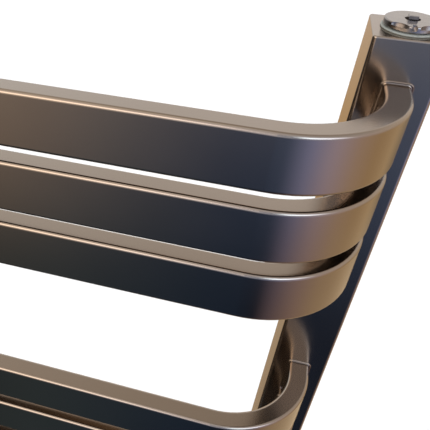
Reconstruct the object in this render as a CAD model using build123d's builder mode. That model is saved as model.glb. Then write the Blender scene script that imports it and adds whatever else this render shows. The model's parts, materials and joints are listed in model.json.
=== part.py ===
from build123d import *
import math
import os

# Towel warmer rack: fifteen bowed flat tubes welded between two square collectors,
# carried by four adjustable wall brackets, with an air vent and a blank plug on top.
# Millimetres. The wall is the plane Y = 0, the room is towards -Y and +Z is up.
# The origin is on the wall, at the centre of the four bracket screws.

# ---- driving dimensions -------------------------------------------------------------
WIDTH = 500.0                # over the outer faces of the two collectors
COLLECTOR = 40.0             # side of the square collector tube
COLLECTOR_WALL = 1.5
COLLECTOR_ROUND = 2.0        # outer corner radius of the collector tube

BAR_HEIGHT = 35.0
BAR_DEPTH = 15.0
BAR_WALL = 1.5
BAR_ROUND = 2.2              # outer corner radius of the bar tube
BAR_BORE_ROUND = 0.6
BAR_PITCH = 45.0
BARS_IN_GROUP = 3
GROUPS = 5
GROUP_PITCH = 235.0
END_MARGIN = 24.5            # from a collector's end to the nearest bar
BOW = 80.0                   # the bars' front face ahead of the collectors' front face
BEND_RADIUS = 67.0           # outer face of each bar's bend
WALL_GAP = 38.0              # wall to the collectors' back face, at the middle setting

WELD_LEG = 1.7               # weld collar round each bar's end, along the collector
WELD_CREST = 0.7             # how far the collar's crest stands off the bar
WELD_HEIGHT = 0.9

CAP_PLATE = 3.0              # thickness of a collector's welded end plate
CAP_SPIGOT = 1.2             # step of the end plate that sits inside the tube
CAP_EDGE = 1.0
CAP_CLEARANCE = 0.1          # between the end plate's step and the tube, each side
BUSH_RADIUS = 14.0           # threaded bush under the end plate
BUSH_LENGTH = 14.0
THREAD_HOLE = 9.9            # half-inch pipe thread, modelled plain at its pitch radius
THREAD_SHANK = 9.85

GASKET_RADIUS = 15.4
GASKET_HEIGHT = 1.0
GASKET_EDGE = 0.35
HEAD_RADIUS = 14.6           # the plugs' round heads
HEAD_HEIGHT = 4.1
HEAD_EDGE = 0.8
FLANGE_HEIGHT = 1.1          # fixed flange of the vent body, under its turning ring
FLANGE_STEP = 2.2            # the ring overhangs the flange by this much
SHANK_LENGTH = 11.0
SPIGOT_RADIUS = 6.0          # the vent body's neck inside the turning ring
RUN_CLEARANCE = 0.05         # radial clearance of a turning or sliding fit

GRIP_CHORD = 10.0            # two finger scallops beside the ring's discharge hole
GRIP_RADIUS = 7.0
GRIP_DEPTH = 1.4
GRIP_ANGLE = 31.0            # from the discharge hole to the middle of each scallop
OUTLET_RADIUS = 1.5          # the ring's discharge notch
OUTLET_DROP = 1.0            # from the ring's top to the notch's axis
OUTLET_DEPTH = 3.6
HEX_FLATS = 10.0             # socket of the blank plug
SOCKET_DEPTH = 3.0
LID_THICKNESS = 1.0          # the ring's top over the neck
LID_GAP = 0.25
LID_HOLE = 4.1               # where the bleed screw's square head comes through
CLIP_RADIUS = 6.7            # snap ring that keeps the turning ring on its neck
CLIP_THICKNESS = 0.6
CLIP_GROOVE = 0.4            # depth of the snap ring's groove in the neck
CLIP_ROOM = 0.3
CLIP_GAP = 3.0

BLEED_RADIUS = 4.6           # collar of the bleed screw
BLEED_KEY = 5.0              # square head for the vent key
BLEED_KEY_RISE = 2.3         # square head above the ring's top
BLEED_KEY_EDGE = 0.35
BLEED_STEM = 3.0
BLEED_STEM_LENGTH = 8.0
BLEED_TIP = 1.2
BLEED_TIP_LENGTH = 2.4
SEAT_HOLE = 0.9              # water way under the bleed screw's cone

CUP_FLANGE_RADIUS = 18.0
CUP_FLANGE_HEIGHT = 4.0
CUP_RADIUS = 12.5
CUP_LENGTH = 28.0            # from the wall to the bracket cup's mouth
STUD_RADIUS = 8.0
STUD_END = 14.0              # distance from the wall to the stud's end
STUD_CHAMFER = 1.0
WALL_SCREW_HOLE = 3.3        # for a six-millimetre wall screw
GRUB_RADIUS = 2.5
GRUB_Y = 23.0                # grub screw's distance from the wall
GRUB_GAP = 0.3               # backed off from the stud by this much
GRUB_KEY = 2.5
GRUB_KEY_DEPTH = 1.8
ROSE_RADIUS = 19.6
ROSE_HEIGHT = 8.0
ROSE_WALL = 1.2
ROSE_EDGE = 2.4
ROSE_GAP = 0.3

# ---- derived places -----------------------------------------------------------------
HEIGHT = (GROUPS - 1) * GROUP_PITCH + (BARS_IN_GROUP - 1) * BAR_PITCH + BAR_HEIGHT + 2 * END_MARGIN
TOP = HEIGHT / 2
COLLECTOR_X = (WIDTH - COLLECTOR) / 2
COLLECTOR_Y = -WALL_GAP - COLLECTOR / 2
COLLECTOR_FRONT = -WALL_GAP - COLLECTOR
BAR_FRONT = COLLECTOR_FRONT - BOW
BAR_AXIS_Y = BAR_FRONT + BAR_DEPTH / 2
BEND_AXIS_RADIUS = BEND_RADIUS - BAR_DEPTH / 2
BRACKET_Z = GROUP_PITCH * (GROUPS - 2) / 2
HEAD_BASE = TOP + GASKET_HEIGHT
HEAD_TOP = HEAD_BASE + HEAD_HEIGHT
NECK_TOP = HEAD_TOP - LID_THICKNESS - LID_GAP
CLIP_BASE = NECK_TOP - 2 * CLIP_THICKNESS
VENT_AXIS = Plane(origin=(COLLECTOR_X, COLLECTOR_Y, 0), z_dir=(0, 0, 1))

SIDES = {"left": -1, "right": 1}
ENDS = {"bottom": -1, "top": 1}

bar_heights = [
    TOP - END_MARGIN - BAR_HEIGHT / 2 - group * GROUP_PITCH - step * BAR_PITCH
    for group in range(GROUPS)
    for step in range(BARS_IN_GROUP)
]


def save(part, name):
    """Label a finished piece and write it as its own file."""
    part.label = name
    export_step(part, f"parts/{name}.step")


def make_bar(height):
    """One flat tube, bowed forward, with both ends butted on the collectors' fronts."""
    bend_y = BAR_AXIS_Y + BEND_AXIS_RADIUS
    bend_x = COLLECTOR_X - BEND_AXIS_RADIUS
    with BuildPart() as bar:
        with BuildLine(Plane.XY.offset(height)) as route:
            Line((COLLECTOR_X, COLLECTOR_FRONT), (COLLECTOR_X, bend_y))
            RadiusArc((COLLECTOR_X, bend_y), (bend_x, BAR_AXIS_Y), BEND_AXIS_RADIUS)
            Line((bend_x, BAR_AXIS_Y), (-bend_x, BAR_AXIS_Y))
            RadiusArc((-bend_x, BAR_AXIS_Y), (-COLLECTOR_X, bend_y), BEND_AXIS_RADIUS)
            Line((-COLLECTOR_X, bend_y), (-COLLECTOR_X, COLLECTOR_FRONT))
        end_plane = Plane(
            origin=(COLLECTOR_X, COLLECTOR_FRONT, height), x_dir=(1, 0, 0), z_dir=(0, -1, 0)
        )
        with BuildSketch(end_plane):
            RectangleRounded(BAR_DEPTH, BAR_HEIGHT, BAR_ROUND)
            RectangleRounded(
                BAR_DEPTH - 2 * BAR_WALL,
                BAR_HEIGHT - 2 * BAR_WALL,
                BAR_BORE_ROUND,
                mode=Mode.SUBTRACT,
            )
        sweep(path=route.wire())
    return bar.part


def make_weld(side):
    """The weld collars round the bars' ends on one collector, one solid per bar."""
    with BuildPart() as weld:
        for height in bar_heights:
            seat = Plane(
                origin=(side * COLLECTOR_X, COLLECTOR_FRONT, height),
                x_dir=(1, 0, 0),
                z_dir=(0, -1, 0),
            )
            with BuildSketch(seat):
                RectangleRounded(
                    BAR_DEPTH + 2 * WELD_LEG, BAR_HEIGHT + 2 * WELD_LEG, BAR_ROUND + WELD_LEG
                )
            with BuildSketch(seat.offset(WELD_HEIGHT)):
                RectangleRounded(
                    BAR_DEPTH + 2 * WELD_CREST,
                    BAR_HEIGHT + 2 * WELD_CREST,
                    BAR_ROUND + WELD_CREST,
                )
            loft()
        for height in bar_heights:
            seat = Plane(
                origin=(side * COLLECTOR_X, COLLECTOR_FRONT, height),
                x_dir=(1, 0, 0),
                z_dir=(0, -1, 0),
            )
            with BuildSketch(seat):
                RectangleRounded(BAR_DEPTH, BAR_HEIGHT, BAR_ROUND)
            extrude(amount=WELD_HEIGHT, mode=Mode.SUBTRACT)
    return weld.part


def make_collector(side):
    """A square tube with one slot in its front wall behind each bar."""
    length = HEIGHT - 2 * CAP_PLATE
    with BuildPart() as collector:
        with BuildSketch(Plane.XY.offset(-length / 2)):
            with Locations((side * COLLECTOR_X, COLLECTOR_Y)):
                RectangleRounded(COLLECTOR, COLLECTOR, COLLECTOR_ROUND)
                Rectangle(
                    COLLECTOR - 2 * COLLECTOR_WALL,
                    COLLECTOR - 2 * COLLECTOR_WALL,
                    mode=Mode.SUBTRACT,
                )
        extrude(amount=length)
        front = Plane(
            origin=(side * COLLECTOR_X, COLLECTOR_FRONT, 0), x_dir=(1, 0, 0), z_dir=(0, -1, 0)
        )
        with BuildSketch(front):
            with Locations(*[(0, height) for height in bar_heights]):
                RectangleRounded(
                    BAR_DEPTH - 2 * BAR_WALL, BAR_HEIGHT - 2 * BAR_WALL, BAR_BORE_ROUND
                )
        extrude(amount=-2 * COLLECTOR_WALL, mode=Mode.SUBTRACT)
    return collector.part


def make_end_cap(side, end):
    """A welded end plate with the threaded bush for a plug or a pipe."""
    inner = COLLECTOR - 2 * COLLECTOR_WALL - 2 * CAP_CLEARANCE
    outward = Plane(
        origin=(side * COLLECTOR_X, COLLECTOR_Y, end * (TOP - CAP_PLATE)),
        x_dir=(1, 0, 0),
        z_dir=(0, 0, end),
    )
    with BuildPart() as cap:
        with BuildSketch(outward):
            RectangleRounded(COLLECTOR, COLLECTOR, COLLECTOR_ROUND)
        extrude(amount=CAP_PLATE)
        outer_face = cap.faces().sort_by(Axis.Z)[-1 if end > 0 else 0]
        fillet(outer_face.edges(), radius=CAP_EDGE)
        with BuildSketch(outward):
            Rectangle(inner, inner)
        extrude(amount=-CAP_SPIGOT)
        with BuildSketch(outward):
            Circle(BUSH_RADIUS)
        extrude(amount=CAP_PLATE - BUSH_LENGTH)
        with BuildSketch(outward.offset(CAP_PLATE)):
            Circle(THREAD_HOLE)
        extrude(amount=-BUSH_LENGTH, mode=Mode.SUBTRACT)
    return cap.part


def make_gasket(side):
    """The flat sealing ring under a plug's head."""
    seat = Plane(origin=(side * COLLECTOR_X, COLLECTOR_Y, TOP), z_dir=(0, 0, 1))
    with BuildPart() as gasket:
        with BuildSketch(seat):
            Circle(GASKET_RADIUS)
            Circle(THREAD_SHANK, mode=Mode.SUBTRACT)
        extrude(amount=GASKET_HEIGHT)
        rim = gasket.edges().filter_by(GeomType.CIRCLE).sort_by(SortBy.RADIUS)[-2:]
        fillet(rim, radius=GASKET_EDGE)
    return gasket.part


def make_vent_body():
    """The screwed vent body: shank, thin flange and the grooved neck the ring turns on."""
    with BuildPart() as body:
        with BuildSketch(VENT_AXIS.offset(HEAD_BASE)):
            Circle(HEAD_RADIUS - FLANGE_STEP)
        extrude(amount=FLANGE_HEIGHT)
        with BuildSketch(VENT_AXIS.offset(TOP - SHANK_LENGTH)):
            Circle(THREAD_SHANK)
        extrude(until=Until.NEXT)
        with BuildSketch(VENT_AXIS.offset(HEAD_BASE)):
            Circle(SPIGOT_RADIUS)
        extrude(amount=NECK_TOP - HEAD_BASE)
        with BuildSketch(VENT_AXIS.offset(CLIP_BASE)):
            Circle(SPIGOT_RADIUS)
            Circle(SPIGOT_RADIUS - CLIP_GROOVE, mode=Mode.SUBTRACT)
        extrude(amount=CLIP_THICKNESS, mode=Mode.SUBTRACT)
        with BuildSketch(VENT_AXIS.offset(NECK_TOP)):
            Circle(BLEED_RADIUS + RUN_CLEARANCE)
        extrude(amount=HEAD_BASE - NECK_TOP, mode=Mode.SUBTRACT)
        with BuildSketch(VENT_AXIS.offset(HEAD_BASE)):
            Circle(BLEED_STEM + RUN_CLEARANCE)
        extrude(amount=-BLEED_STEM_LENGTH, mode=Mode.SUBTRACT)
        with BuildSketch(VENT_AXIS.offset(TOP - SHANK_LENGTH)):
            Circle(SEAT_HOLE)
        extrude(amount=SHANK_LENGTH, mode=Mode.SUBTRACT)
    return body.part


def make_vent_ring():
    """The turning ring that points the discharge hole away from the wall."""
    base = HEAD_BASE + FLANGE_HEIGHT + RUN_CLEARANCE
    grip_distance = (
        math.sqrt(HEAD_RADIUS**2 - (GRIP_CHORD / 2) ** 2)
        + math.sqrt(GRIP_RADIUS**2 - (GRIP_CHORD / 2) ** 2)
    )
    with BuildPart() as ring:
        with BuildSketch(VENT_AXIS.offset(base)):
            Circle(HEAD_RADIUS)
        extrude(amount=HEAD_TOP - base)
        fillet(ring.faces().sort_by(Axis.Z)[-1].edges(), radius=HEAD_EDGE)
        with BuildSketch(VENT_AXIS.offset(base)):
            Circle(SPIGOT_RADIUS + RUN_CLEARANCE)
        extrude(amount=HEAD_TOP - LID_THICKNESS - base, mode=Mode.SUBTRACT)
        with BuildSketch(VENT_AXIS.offset(CLIP_BASE - RUN_CLEARANCE)):
            Circle(CLIP_RADIUS + CLIP_ROOM)
        extrude(amount=CLIP_THICKNESS + 2 * RUN_CLEARANCE, mode=Mode.SUBTRACT)
        with BuildSketch(VENT_AXIS.offset(HEAD_TOP)):
            Circle(LID_HOLE)
        extrude(amount=-LID_THICKNESS, mode=Mode.SUBTRACT)
        with BuildSketch(VENT_AXIS.offset(HEAD_TOP)):
            with PolarLocations(
                grip_distance,
                2,
                start_angle=270 - GRIP_ANGLE,
                angular_range=2 * GRIP_ANGLE,
                endpoint=True,
            ):
                Circle(GRIP_RADIUS)
        extrude(amount=-GRIP_DEPTH, mode=Mode.SUBTRACT)
        outlet = Plane(
            origin=(COLLECTOR_X, COLLECTOR_Y - HEAD_RADIUS, HEAD_TOP - OUTLET_DROP),
            z_dir=(0, 1, 0),
        )
        with BuildSketch(outlet):
            Circle(OUTLET_RADIUS)
        extrude(amount=OUTLET_DEPTH, mode=Mode.SUBTRACT)
    return ring.part


def make_ring_clip():
    """The snap ring in the neck's groove, with the gap it is opened by."""
    with BuildPart() as clip:
        with BuildSketch(VENT_AXIS.offset(CLIP_BASE)):
            Circle(CLIP_RADIUS)
            Circle(SPIGOT_RADIUS - CLIP_GROOVE, mode=Mode.SUBTRACT)
            with Locations((0, CLIP_RADIUS)):
                Rectangle(CLIP_GAP, CLIP_RADIUS, mode=Mode.SUBTRACT)
        extrude(amount=CLIP_THICKNESS)
    return clip.part


def make_bleed_screw():
    """The bleed screw: square head for the key, collar, stem and sealing cone."""
    collar_base = HEAD_BASE + RUN_CLEARANCE
    stem_base = HEAD_BASE - BLEED_STEM_LENGTH + BLEED_TIP_LENGTH
    with BuildPart() as screw:
        with BuildSketch(VENT_AXIS.offset(collar_base)):
            Circle(BLEED_RADIUS)
        extrude(amount=NECK_TOP - collar_base)
        with BuildSketch(VENT_AXIS.offset(stem_base)):
            Circle(BLEED_STEM)
        extrude(amount=collar_base - stem_base)
        with BuildSketch(VENT_AXIS.offset(stem_base)):
            Circle(BLEED_STEM)
        with BuildSketch(VENT_AXIS.offset(stem_base - BLEED_TIP_LENGTH + 2 * RUN_CLEARANCE)):
            Circle(BLEED_TIP)
        loft()
        with BuildSketch(VENT_AXIS.offset(NECK_TOP)):
            Rectangle(BLEED_KEY, BLEED_KEY)
        extrude(amount=HEAD_TOP + BLEED_KEY_RISE - NECK_TOP)
        chamfer(screw.faces().sort_by(Axis.Z)[-1].edges(), length=BLEED_KEY_EDGE)
    return screw.part


def make_blank_plug():
    """The blank plug: round head with a hexagon socket over a plain shank."""
    axis = Plane(origin=(-COLLECTOR_X, COLLECTOR_Y, 0), z_dir=(0, 0, 1))
    with BuildPart() as plug:
        with BuildSketch(axis.offset(HEAD_BASE)):
            Circle(HEAD_RADIUS)
        extrude(amount=HEAD_HEIGHT)
        fillet(plug.faces().sort_by(Axis.Z)[-1].edges(), radius=HEAD_EDGE)
        with BuildSketch(axis.offset(TOP - SHANK_LENGTH)):
            Circle(THREAD_SHANK)
        extrude(until=Until.NEXT)
        with BuildSketch(axis.offset(HEAD_TOP)):
            RegularPolygon(HEX_FLATS / 2, side_count=6, major_radius=False)
        extrude(amount=-SOCKET_DEPTH, mode=Mode.SUBTRACT)
    return plug.part


def bracket_plane(side, end, distance):
    """A plane square to the wall screws, at a distance from the wall, facing the room."""
    return Plane(
        origin=(side * COLLECTOR_X, -distance, end * BRACKET_Z), x_dir=(1, 0, 0), z_dir=(0, -1, 0)
    )


def make_bracket_cup(side, end):
    """The wall cup: screwed flange and the sleeve that takes the radiator's stud."""
    with BuildPart() as cup:
        with BuildSketch(bracket_plane(side, end, 0)):
            Circle(CUP_FLANGE_RADIUS)
        extrude(amount=CUP_FLANGE_HEIGHT)
        with BuildSketch(bracket_plane(side, end, 0)):
            Circle(CUP_RADIUS)
        extrude(amount=CUP_LENGTH)
        with BuildSketch(bracket_plane(side, end, CUP_FLANGE_HEIGHT)):
            Circle(STUD_RADIUS + RUN_CLEARANCE)
        extrude(amount=CUP_LENGTH - CUP_FLANGE_HEIGHT, mode=Mode.SUBTRACT)
        with BuildSketch(bracket_plane(side, end, 0)):
            Circle(WALL_SCREW_HOLE)
        extrude(amount=CUP_FLANGE_HEIGHT, mode=Mode.SUBTRACT)
        below = Plane(
            origin=(side * COLLECTOR_X, -GRUB_Y, end * BRACKET_Z - CUP_RADIUS), z_dir=(0, 0, 1)
        )
        with BuildSketch(below):
            Circle(GRUB_RADIUS + RUN_CLEARANCE)
        extrude(amount=CUP_RADIUS, mode=Mode.SUBTRACT)
    return cup.part


def make_bracket_stud(side, end):
    """The stud welded on a collector's back, which slides in the wall cup."""
    with BuildPart() as stud:
        with BuildSketch(bracket_plane(side, end, STUD_END)):
            Circle(STUD_RADIUS)
        extrude(amount=WALL_GAP - STUD_END)
        chamfer(stud.faces().sort_by(Axis.Y)[-1].edges(), length=STUD_CHAMFER)
    return stud.part


def make_bracket_rose(side, end):
    """The pressed cover that hides the cup's flange and its wall screw."""
    with BuildPart() as rose:
        with BuildSketch(bracket_plane(side, end, 0)):
            Circle(ROSE_RADIUS)
        extrude(amount=ROSE_HEIGHT)
        fillet(rose.faces().sort_by(Axis.Y)[0].edges(), radius=ROSE_EDGE)
        with BuildSketch(bracket_plane(side, end, 0)):
            Circle(ROSE_RADIUS - ROSE_WALL)
        extrude(amount=ROSE_HEIGHT - ROSE_WALL, mode=Mode.SUBTRACT)
        with BuildSketch(bracket_plane(side, end, 0)):
            Circle(CUP_RADIUS + ROSE_GAP)
        extrude(amount=ROSE_HEIGHT, mode=Mode.SUBTRACT)
    return rose.part


def make_grub_screws():
    """The four socket grub screws that lock the studs, one under each cup."""
    length = CUP_RADIUS - STUD_RADIUS - GRUB_GAP
    with BuildPart() as grubs:
        for side in SIDES.values():
            for end in ENDS.values():
                tip = Plane(
                    origin=(
                        side * COLLECTOR_X,
                        -GRUB_Y,
                        end * BRACKET_Z - STUD_RADIUS - GRUB_GAP,
                    ),
                    z_dir=(0, 0, -1),
                )
                with BuildSketch(tip):
                    Circle(GRUB_RADIUS)
                extrude(amount=length)
                with BuildSketch(tip.offset(length)):
                    RegularPolygon(GRUB_KEY / 2, side_count=6, major_radius=False)
                extrude(amount=-GRUB_KEY_DEPTH, mode=Mode.SUBTRACT)
    return grubs.part


os.makedirs("parts", exist_ok=True)

for number, height in enumerate(bar_heights, start=1):
    save(make_bar(height), f"bar_{number:02d}")

for side_name, side in SIDES.items():
    save(make_collector(side), f"collector_{side_name}")
    save(make_weld(side), f"bar_welds_{side_name}")
    save(make_gasket(side), f"gasket_{'vent' if side > 0 else 'blank'}")
    for end_name, end in ENDS.items():
        save(make_end_cap(side, end), f"end_cap_{end_name}_{side_name}")
        save(make_bracket_cup(side, end), f"bracket_cup_{end_name}_{side_name}")
        save(make_bracket_stud(side, end), f"bracket_stud_{end_name}_{side_name}")
        save(make_bracket_rose(side, end), f"bracket_rose_{end_name}_{side_name}")

save(make_vent_body(), "vent_body")
save(make_vent_ring(), "vent_ring")
save(make_ring_clip(), "ring_clip")
save(make_bleed_screw(), "bleed_screw")
save(make_blank_plug(), "blank_plug")
save(make_grub_screws(), "grub_screws")
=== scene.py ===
import json
import math

import bpy
from mathutils import Matrix, Vector


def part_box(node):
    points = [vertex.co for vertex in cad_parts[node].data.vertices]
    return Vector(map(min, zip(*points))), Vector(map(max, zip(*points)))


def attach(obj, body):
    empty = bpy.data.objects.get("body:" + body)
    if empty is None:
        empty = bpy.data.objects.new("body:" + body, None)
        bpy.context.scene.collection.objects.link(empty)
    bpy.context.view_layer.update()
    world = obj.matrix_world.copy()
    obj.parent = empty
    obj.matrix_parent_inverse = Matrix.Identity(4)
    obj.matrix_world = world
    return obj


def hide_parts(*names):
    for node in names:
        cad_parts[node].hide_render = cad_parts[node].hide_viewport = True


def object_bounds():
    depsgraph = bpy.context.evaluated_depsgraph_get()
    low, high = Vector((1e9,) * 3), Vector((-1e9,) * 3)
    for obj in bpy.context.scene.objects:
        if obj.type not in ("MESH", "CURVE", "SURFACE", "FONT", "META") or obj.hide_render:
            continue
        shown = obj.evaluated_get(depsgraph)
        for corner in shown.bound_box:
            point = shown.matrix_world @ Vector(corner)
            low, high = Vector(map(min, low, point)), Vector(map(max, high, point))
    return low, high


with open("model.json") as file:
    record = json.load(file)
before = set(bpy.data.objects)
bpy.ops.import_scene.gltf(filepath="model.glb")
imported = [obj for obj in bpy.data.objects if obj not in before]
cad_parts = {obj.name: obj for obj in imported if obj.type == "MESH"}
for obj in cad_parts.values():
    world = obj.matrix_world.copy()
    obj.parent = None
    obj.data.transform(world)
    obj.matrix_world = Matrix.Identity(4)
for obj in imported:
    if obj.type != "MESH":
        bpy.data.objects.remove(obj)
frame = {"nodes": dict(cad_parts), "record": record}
CAD_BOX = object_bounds()

MM = 0.001
SCENE = bpy.context.scene

# Tube sizes that the detailed pieces need, in metres.
BAR_HEIGHT = 35 * MM
BAR_DEPTH = 15 * MM
BAR_ROUND = 2.2 * MM
WELD_LEG = 1.7 * MM
WELD_HEIGHT = 0.9 * MM
PIPE_THREAD_PITCH = 1.814 * MM
PIPE_THREAD_RADIUS = 9.9 * MM
PIPE_THREAD_DEPTH = 0.55 * MM
PIPE_THREAD_FLANK = 0.42      # half the width of a turn's root, as a share of the pitch
PIPE_THREAD_BED = 0.02 * MM   # the root sits this far inside the bush's wall
PIPE_THREAD_STEPS = 48        # points in one turn

# The weld bead from the bar outwards: distance and height as shares of the weld's leg and
# height. First a groove against the bar, then the crest, then the slope to the collector.
BEAD_PROFILE = [
    (0.0, 0.45), (0.2, 0.22), (0.42, 0.3), (0.58, 0.75), (0.7, 0.95), (0.82, 0.8), (1.0, 0.0),
]
BEAD_STEP = 0.5 * MM          # between the points round a bead
RIPPLE_DEPTH = 0.08           # how much a ripple takes off a bead's size
RIPPLE_LENGTH = 3             # points in one ripple
RIPPLE_SHIFT = 900            # ripple phase for each metre of height, so no two beads match

FLOOR_DROP = 0.12             # below the rack's lowest point, in metres
FLOOR_SIZE = 12.0
BACKDROP_STRENGTH = 1.04      # the plain white that the camera sees behind the rack


# ---- shader helpers ------------------------------------------------------------------

def new_material(name):
    """An empty node material with its principled shader and its object coordinates."""
    material = bpy.data.materials.new(name)
    material.use_nodes = True
    nodes = material.node_tree.nodes
    shader = nodes["Principled BSDF"]
    place = nodes.new("ShaderNodeTexCoord")
    return material, shader, place.outputs["Object"]


def link(material, source, target):
    material.node_tree.links.new(source, target)


def noise(material, vector, scale, detail=3.0, stretch=(1, 1, 1)):
    """A noise field at so many features a metre, stretched along the axes."""
    nodes = material.node_tree.nodes
    mapping = nodes.new("ShaderNodeMapping")
    mapping.inputs["Scale"].default_value = stretch
    link(material, vector, mapping.inputs["Vector"])
    field = nodes.new("ShaderNodeTexNoise")
    field.inputs["Scale"].default_value = scale
    field.inputs["Detail"].default_value = detail
    link(material, mapping.outputs["Vector"], field.inputs["Vector"])
    return field.outputs["Fac"]


def span(material, field, low, high):
    """Map the middle of a noise field to a range of values."""
    node = material.node_tree.nodes.new("ShaderNodeMapRange")
    node.inputs["From Min"].default_value = 0.3
    node.inputs["From Max"].default_value = 0.7
    node.inputs["To Min"].default_value = low
    node.inputs["To Max"].default_value = high
    link(material, field, node.inputs["Value"])
    return node.outputs["Result"]


def tint(material, field, dark, light):
    """Blend between two colours by a field."""
    node = material.node_tree.nodes.new("ShaderNodeMix")
    node.data_type = "RGBA"
    node.inputs["A"].default_value = (*dark, 1)
    node.inputs["B"].default_value = (*light, 1)
    link(material, field, node.inputs["Factor"])
    return node.outputs["Result"]


def bump(material, field, height, before=None):
    """Raise the surface by a field, over an earlier bump if there is one."""
    node = material.node_tree.nodes.new("ShaderNodeBump")
    node.inputs["Distance"].default_value = height
    node.inputs["Strength"].default_value = 1.0
    link(material, field, node.inputs["Height"])
    if before is not None:
        link(material, before, node.inputs["Normal"])
    return node.outputs["Normal"]


# ---- materials -----------------------------------------------------------------------

def bronze_lacquer():
    """Satin metallic bronze: fine metal flake under a lacquer with a faint orange peel."""
    material, shader, place = new_material("bronze_lacquer")
    shader.inputs["Metallic"].default_value = 1.0
    shader.inputs["Coat Weight"].default_value = 0.05
    shader.inputs["Coat Roughness"].default_value = 0.12
    flake = noise(material, place, 5200, detail=1.0)
    cloud = noise(material, place, 14, detail=2.0)
    flake_colour = tint(
        material, span(material, flake, 0, 1), (0.345, 0.288, 0.238), (0.385, 0.322, 0.267)
    )
    cloud_colour = tint(
        material, span(material, cloud, 0, 1), (0.95, 0.94, 0.93), (1.0, 1.0, 1.0)
    )
    mix = material.node_tree.nodes.new("ShaderNodeMix")
    mix.data_type = "RGBA"
    mix.blend_type = "MULTIPLY"
    mix.inputs["Factor"].default_value = 1.0
    link(material, flake_colour, mix.inputs["A"])
    link(material, cloud_colour, mix.inputs["B"])
    link(material, mix.outputs["Result"], shader.inputs["Base Color"])
    link(material, span(material, cloud, 0.17, 0.20), shader.inputs["Roughness"])
    peel = noise(material, place, 330, detail=0.0)
    link(material, bump(material, peel, 0.003 * MM), shader.inputs["Normal"])
    return material


def plated_brass():
    """Nickel plate on turned brass: bright, warm, with fine turning marks and smudges."""
    material, shader, place = new_material("plated_brass")
    shader.inputs["Metallic"].default_value = 1.0
    marks = noise(material, place, 900, detail=3.0)
    smudge = noise(material, place, 160, detail=4.0)
    colour = tint(material, span(material, smudge, 0, 1), (0.30, 0.27, 0.25), (0.39, 0.355, 0.33))
    link(material, colour, shader.inputs["Base Color"])
    link(material, span(material, smudge, 0.14, 0.26), shader.inputs["Roughness"])
    link(material, bump(material, marks, 0.004 * MM), shader.inputs["Normal"])
    return material


def gasket_rubber():
    """Grey-green sealing rubber with a powdery bloom."""
    material, shader, place = new_material("gasket_rubber")
    bloom = noise(material, place, 700, detail=4.0)
    colour = tint(material, span(material, bloom, 0, 1), (0.28, 0.30, 0.28), (0.38, 0.40, 0.37))
    link(material, colour, shader.inputs["Base Color"])
    link(material, span(material, bloom, 0.45, 0.65), shader.inputs["Roughness"])
    link(material, bump(material, bloom, 0.02 * MM), shader.inputs["Normal"])
    return material


def turned_steel(name, dark, light):
    """Plain machined steel with drawn marks along its length."""
    material, shader, place = new_material(name)
    shader.inputs["Metallic"].default_value = 1.0
    marks = noise(material, place, 600, detail=3.0, stretch=(1, 6, 1))
    colour = tint(material, span(material, marks, 0, 1), dark, light)
    link(material, colour, shader.inputs["Base Color"])
    link(material, span(material, marks, 0.25, 0.42), shader.inputs["Roughness"])
    link(material, bump(material, marks, 0.006 * MM), shader.inputs["Normal"])
    return material


def pale_floor():
    """Plain pale paper sweep."""
    material, shader, place = new_material("pale_floor")
    grain = noise(material, place, 30, detail=2.0)
    colour = tint(material, span(material, grain, 0, 1), (0.93, 0.93, 0.93), (0.95, 0.95, 0.95))
    link(material, colour, shader.inputs["Base Color"])
    shader.inputs["Roughness"].default_value = 0.9
    return material


# ---- camera, floor and light ---------------------------------------------------------

def make_camera():
    """Close above the right-hand end, looking down along the bars."""
    data = bpy.data.cameras.new("camera")
    data.sensor_width = 36.0
    data.lens = 50.07
    data.shift_x = 0.279
    data.shift_y = 0.058
    data.clip_start = 0.01
    camera = bpy.data.objects.new("camera", data)
    turn = Matrix.Rotation(math.radians(16.60), 4, "Z")
    tilt = Matrix.Rotation(math.radians(51.49), 4, "X")
    roll = Matrix.Rotation(math.radians(1.32), 4, "Z")
    stand = Matrix.Translation((0.1614, -0.4269, 0.6681))
    camera.matrix_world = stand @ turn @ tilt @ roll
    SCENE.collection.objects.link(camera)
    SCENE.camera = camera


def make_floor(material):
    """The sweep that the rack hangs above. The lacquer doesn't mirror it."""
    low = CAD_BOX[0][2] - FLOOR_DROP
    half = FLOOR_SIZE / 2
    mesh = bpy.data.meshes.new("floor")
    corners = [(-half, -half, low), (half, -half, low), (half, half, low), (-half, half, low)]
    mesh.from_pydata(corners, [], [(0, 1, 2, 3)])
    floor = bpy.data.objects.new("floor", mesh)
    mesh.materials.append(material)
    floor.visible_glossy = False
    SCENE.collection.objects.link(floor)


def make_softbox(name, place, aim, size, power, colour):
    """A soft rectangular lamp that the camera itself never sees."""
    data = bpy.data.lights.new(name, "AREA")
    data.shape = "RECTANGLE"
    data.size, data.size_y = size
    data.energy = power
    data.color = colour
    lamp = bpy.data.objects.new(name, data)
    lamp.location = place
    lamp.rotation_euler = (Vector(aim) - Vector(place)).to_track_quat("-Z", "Y").to_euler()
    lamp.visible_camera = False
    lamp.visible_glossy = False
    SCENE.collection.objects.link(lamp)


# Colours of the surroundings that the lacquer mirrors, each stop at an azimuth of 0 to 1:
# 0.5 faces the room (-Y), 0.75 is +X, and 0 and 1 are the wall side.

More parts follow.
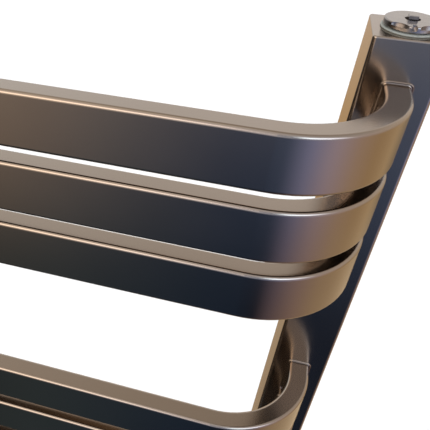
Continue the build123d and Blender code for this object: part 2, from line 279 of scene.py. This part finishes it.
# Steeply below: the darkest part of the room, warm only on the +X side.
FLOOR_NEAR = [
    (0.00, (0.60, 0.43, 0.26)),
    (0.04, (0.45, 0.32, 0.20)),
    (0.08, (0.03, 0.025, 0.02)),
    (0.24, (0.02, 0.02, 0.02)),
    (0.36, (0.035, 0.042, 0.042)),
    (0.43, (0.055, 0.08, 0.095)),
    (0.50, (0.020, 0.040, 0.085)),
    (0.56, (0.015, 0.02, 0.035)),
    (0.61, (0.20, 0.15, 0.17)),
    (0.68, (0.42, 0.30, 0.25)),
    (0.75, (0.56, 0.42, 0.27)),
    (0.90, (0.68, 0.51, 0.32)),
]

# Below the horizon: black on the -X side, brown, near black towards the room, blue, then
# tan on the +X side, and a narrow tan strip on the wall side.
FLOOR_FAR = [
    (0.00, (0.66, 0.40, 0.16)),
    (0.04, (0.60, 0.38, 0.18)),
    (0.07, (0.06, 0.045, 0.03)),
    (0.20, (0.03, 0.025, 0.02)),
    (0.34, (0.04, 0.03, 0.025)),
    (0.39, (0.32, 0.26, 0.21)),
    (0.42, (0.39, 0.32, 0.27)),
    (0.46, (0.20, 0.21, 0.25)),
    (0.495, (0.035, 0.065, 0.15)),
    (0.54, (0.09, 0.14, 0.27)),
    (0.60, (0.38, 0.44, 0.80)),
    (0.66, (0.66, 0.58, 0.76)),
    (0.73, (0.67, 0.50, 0.39)),
    (0.79, (0.62, 0.43, 0.23)),
    (0.86, (0.66, 0.47, 0.26)),
    (0.91, (0.28, 0.20, 0.12)),
    (0.985, (0.12, 0.085, 0.05)),
]

# At the horizon: bright behind and ahead, dark on the -X side.
WALLS = [
    (0.00, (1.02, 0.99, 0.98)),
    (0.12, (1.04, 1.07, 1.09)),
    (0.20, (0.10, 0.10, 0.10)),
    (0.34, (0.10, 0.09, 0.08)),
    (0.39, (1.40, 1.25, 1.08)),
    (0.45, (1.70, 1.50, 1.30)),
    (0.50, (1.35, 1.40, 1.60)),
    (0.54, (0.62, 0.72, 0.96)),
    (0.70, (0.75, 0.66, 0.66)),
    (0.85, (0.85, 0.74, 0.62)),
    (1.00, (1.02, 0.99, 0.98)),
]

# Just above the horizon: two bright windows, one warm and one bluish.
WINDOW = [
    (0.00, (1.02, 0.99, 0.98)),
    (0.12, (1.04, 1.07, 1.09)),
    (0.20, (0.20, 0.20, 0.20)),
    (0.28, (0.40, 0.36, 0.32)),
    (0.33, (2.60, 2.28, 1.98)),
    (0.36, (3.20, 2.80, 2.40)),
    (0.44, (3.70, 3.20, 2.75)),
    (0.48, (3.30, 3.10, 3.10)),
    (0.505, (0.50, 0.55, 0.70)),
    (0.55, (0.45, 0.52, 0.70)),
    (0.58, (3.40, 4.30, 5.40)),
    (0.64, (2.90, 3.30, 4.20)),
    (0.70, (0.75, 0.66, 0.66)),
    (0.85, (0.85, 0.74, 0.62)),
    (1.00, (1.02, 0.99, 0.98)),
]

# Overhead.
CEILING = [
    (0.00, (0.52, 0.45, 0.38)),
    (0.40, (1.10, 1.00, 0.90)),
    (0.55, (0.80, 0.80, 0.86)),
    (1.00, (0.52, 0.45, 0.38)),
]


def make_world():
    """Plain white to the camera and to matte surfaces, and a studio to mirroring ones."""
    world = bpy.data.worlds.new("studio")
    world.use_nodes = True
    SCENE.world = world
    tree = world.node_tree
    nodes, links = tree.nodes, tree.links
    place = nodes.new("ShaderNodeTexCoord")
    split = nodes.new("ShaderNodeSeparateXYZ")
    links.new(place.outputs["Generated"], split.inputs["Vector"])

    def math_node(kind, first, second=None):
        """A math node on sockets or numbers."""
        node = nodes.new("ShaderNodeMath")
        node.operation = kind
        for socket, value in zip(node.inputs, (first, second)):
            if isinstance(value, (int, float)):
                socket.default_value = value
            elif value is not None:
                links.new(value, socket)
        return node.outputs["Value"]

    def ramp(field, stops):
        """A colour that follows a field through a table of stops."""
        node = nodes.new("ShaderNodeValToRGB")
        node.color_ramp.interpolation = "LINEAR"
        bar = node.color_ramp.elements
        while len(bar) < len(stops):
            bar.new(0.5)
        for element, (position, colour) in zip(bar, stops):
            element.position = position
            element.color = (*colour, 1)
        links.new(field, node.inputs["Fac"])
        return node.outputs["Color"]

    def blend(factor, first, second):
        """One colour at factor 0 and another at factor 1."""
        node = nodes.new("ShaderNodeMix")
        node.data_type = "RGBA"
        links.new(factor, node.inputs["Factor"])
        links.new(first, node.inputs["A"])
        links.new(second, node.inputs["B"])
        return node.outputs["Result"]

    away = math_node("MULTIPLY", split.outputs["Y"], -1)
    angle = math_node("ARCTAN2", split.outputs["X"], away)
    azimuth = math_node("MULTIPLY_ADD", angle, 1 / (2 * math.pi))
    azimuth.node.inputs[2].default_value = 0.5
    floor_near = ramp(azimuth, FLOOR_NEAR)
    floor_far = ramp(azimuth, FLOOR_FAR)
    walls = ramp(azimuth, WALLS)
    window = ramp(azimuth, WINDOW)
    ceiling = ramp(azimuth, CEILING)

    def level(low, high):
        """0 to 1 between two heights, each the sine of an angle above the horizon."""
        node = nodes.new("ShaderNodeMapRange")
        node.interpolation_type = "SMOOTHSTEP"
        node.inputs["From Min"].default_value = low
        node.inputs["From Max"].default_value = high
        links.new(split.outputs["Z"], node.inputs["Value"])
        return node.outputs["Result"]

    lower = blend(level(-0.68, -0.45), floor_near, floor_far)
    middle = blend(level(0.10, 0.30), walls, window)
    upper = blend(level(0.40, 0.85), middle, ceiling)
    surroundings = blend(level(-0.52, 0.30), lower, upper)
    background = nodes["Background"]
    links.new(surroundings, background.inputs["Color"])
    background.inputs["Strength"].default_value = 1.0
    seen = nodes.new("ShaderNodeBackground")
    seen.inputs["Color"].default_value = (1.0, 1.0, 1.0, 1)
    seen.inputs["Strength"].default_value = BACKDROP_STRENGTH
    path = nodes.new("ShaderNodeLightPath")
    choose = nodes.new("ShaderNodeMixShader")
    plain_ray = math_node("MAXIMUM", path.outputs["Is Camera Ray"], path.outputs["Is Diffuse Ray"])
    links.new(plain_ray, choose.inputs["Fac"])
    links.new(background.outputs["Background"], choose.inputs[1])
    links.new(seen.outputs["Background"], choose.inputs[2])
    links.new(choose.outputs["Shader"], nodes["World Output"].inputs["Surface"])


# ---- detailed pieces -----------------------------------------------------------------

def rounded_rectangle(half_x, half_z, corner, step):
    """Points round a rounded rectangle, each with its outward direction, anticlockwise."""
    outline = []
    corners = [(1, 1), (-1, 1), (-1, -1), (1, -1)]
    turns = max(3, round(corner * math.pi / 2 / step))
    for quarter, (sign_x, sign_z) in enumerate(corners):
        centre = Vector((sign_x * (half_x - corner), sign_z * (half_z - corner)))
        for number in range(turns + 1):
            angle = math.pi / 2 * (quarter + number / turns)
            outward = Vector((math.cos(angle), math.sin(angle)))
            outline.append((centre + corner * outward, outward))
        next_x, next_z = corners[(quarter + 1) % 4]
        next_centre = Vector((next_x * (half_x - corner), next_z * (half_z - corner)))
        count = max(1, round((next_centre - centre).length / step))
        for number in range(1, count):
            outline.append((centre.lerp(next_centre, number / count) + corner * outward, outward))
    return outline


def weld_beads(side):
    """The weld collars round the bars' ends: a groove at the bar and a rippled crest."""
    low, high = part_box(f"bar_welds_{side}")
    centre_x = (low[0] + high[0]) / 2
    face_y = high[1]
    vertices, faces = [], []
    outline = rounded_rectangle(BAR_DEPTH / 2, BAR_HEIGHT / 2, BAR_ROUND, BEAD_STEP)
    for bar in sorted(name for name in frame["nodes"] if name[:4] == "bar_" and name[4:].isdigit()):
        bar_low, bar_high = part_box(bar)
        centre_z = (bar_low[2] + bar_high[2]) / 2
        first = len(vertices)
        for number, (point, outward) in enumerate(outline):
            phase = 2 * math.pi * number / RIPPLE_LENGTH + RIPPLE_SHIFT * centre_z
            ripple = 1 - RIPPLE_DEPTH / 2 * (1 + math.sin(phase))
            for reach, rise in BEAD_PROFILE:
                out = WELD_LEG * reach * ripple
                vertices.append((
                    centre_x + point.x + outward.x * out,
                    face_y - WELD_HEIGHT * rise * ripple,
                    centre_z + point.y + outward.y * out,
                ))
        width = len(BEAD_PROFILE)
        for number in range(len(outline)):
            here = first + number * width
            there = first + (number + 1) % len(outline) * width
            for step in range(width - 1):
                faces.append((here + step, here + step + 1, there + step + 1, there + step))
    return mesh_piece(f"weld_beads_{side}", vertices, faces)


def thread_turns(side):
    """The crests of the pipe thread inside a collector's bottom bush."""
    low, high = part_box(f"end_cap_bottom_{side}")
    centre_x = (low[0] + high[0]) / 2
    centre_y = (low[1] + high[1]) / 2
    turns = (high[2] - low[2]) / PIPE_THREAD_PITCH - 1
    vertices, faces = [], []
    total = int(turns * PIPE_THREAD_STEPS)
    for number in range(total + 1):
        angle = 2 * math.pi * number / PIPE_THREAD_STEPS
        centre_z = low[2] + PIPE_THREAD_PITCH * (0.5 + number / PIPE_THREAD_STEPS)
        for depth, rise in ((0, PIPE_THREAD_FLANK), (1, 0), (0, -PIPE_THREAD_FLANK)):
            distance = PIPE_THREAD_RADIUS + PIPE_THREAD_BED - depth * PIPE_THREAD_DEPTH
            vertices.append((
                centre_x + distance * math.cos(angle),
                centre_y + distance * math.sin(angle),
                centre_z + rise * PIPE_THREAD_PITCH,
            ))
    for number in range(total):
        here, there = 3 * number, 3 * number + 3
        for step in range(3):
            following = (step + 1) % 3
            faces.append((here + step, here + following, there + following, there + step))
    faces.append((0, 2, 1))
    faces.append((3 * total, 3 * total + 1, 3 * total + 2))
    return mesh_piece(f"thread_{side}", vertices, faces)


def mesh_piece(name, vertices, faces):
    """A smooth-shaded mesh object in the scene."""
    mesh = bpy.data.meshes.new(name)
    mesh.from_pydata([tuple(v) for v in vertices], [], faces)
    mesh.validate()
    mesh.shade_smooth()
    piece = bpy.data.objects.new(name, mesh)
    SCENE.collection.objects.link(piece)
    return piece


# ---- the rack ------------------------------------------------------------------------

SCENE.view_settings.view_transform = "Standard"
make_camera()
make_world()
make_floor(pale_floor())
make_softbox("key", (-0.9, -1.3, 1.7), (0.0, -0.1, 0.4), (1.1, 0.5), 6, (1.0, 0.97, 0.94))

finishes = {
    "bronze_lacquer": bronze_lacquer(),
    "plated_brass": plated_brass(),
    "gasket_rubber": gasket_rubber(),
    "bright_steel": turned_steel("bright_steel", (0.78, 0.78, 0.79), (0.90, 0.90, 0.90)),
    "bracket_steel": turned_steel("bracket_steel", (0.36, 0.35, 0.34), (0.48, 0.47, 0.45)),
}
slots = {part["node"]: part["material_slot"] for part in frame["record"]["subparts"]}
for node, slot in slots.items():
    target = bpy.data.objects[node]
    target.data.materials.clear()
    target.data.materials.append(finishes[slot])

for side in ("left", "right"):
    beads = weld_beads(side)
    beads.data.materials.append(finishes["bronze_lacquer"])
    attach(beads, "radiator")
    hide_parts(f"bar_welds_{side}")
    thread = thread_turns(side)
    thread.data.materials.append(finishes["bracket_steel"])
    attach(thread, "radiator")
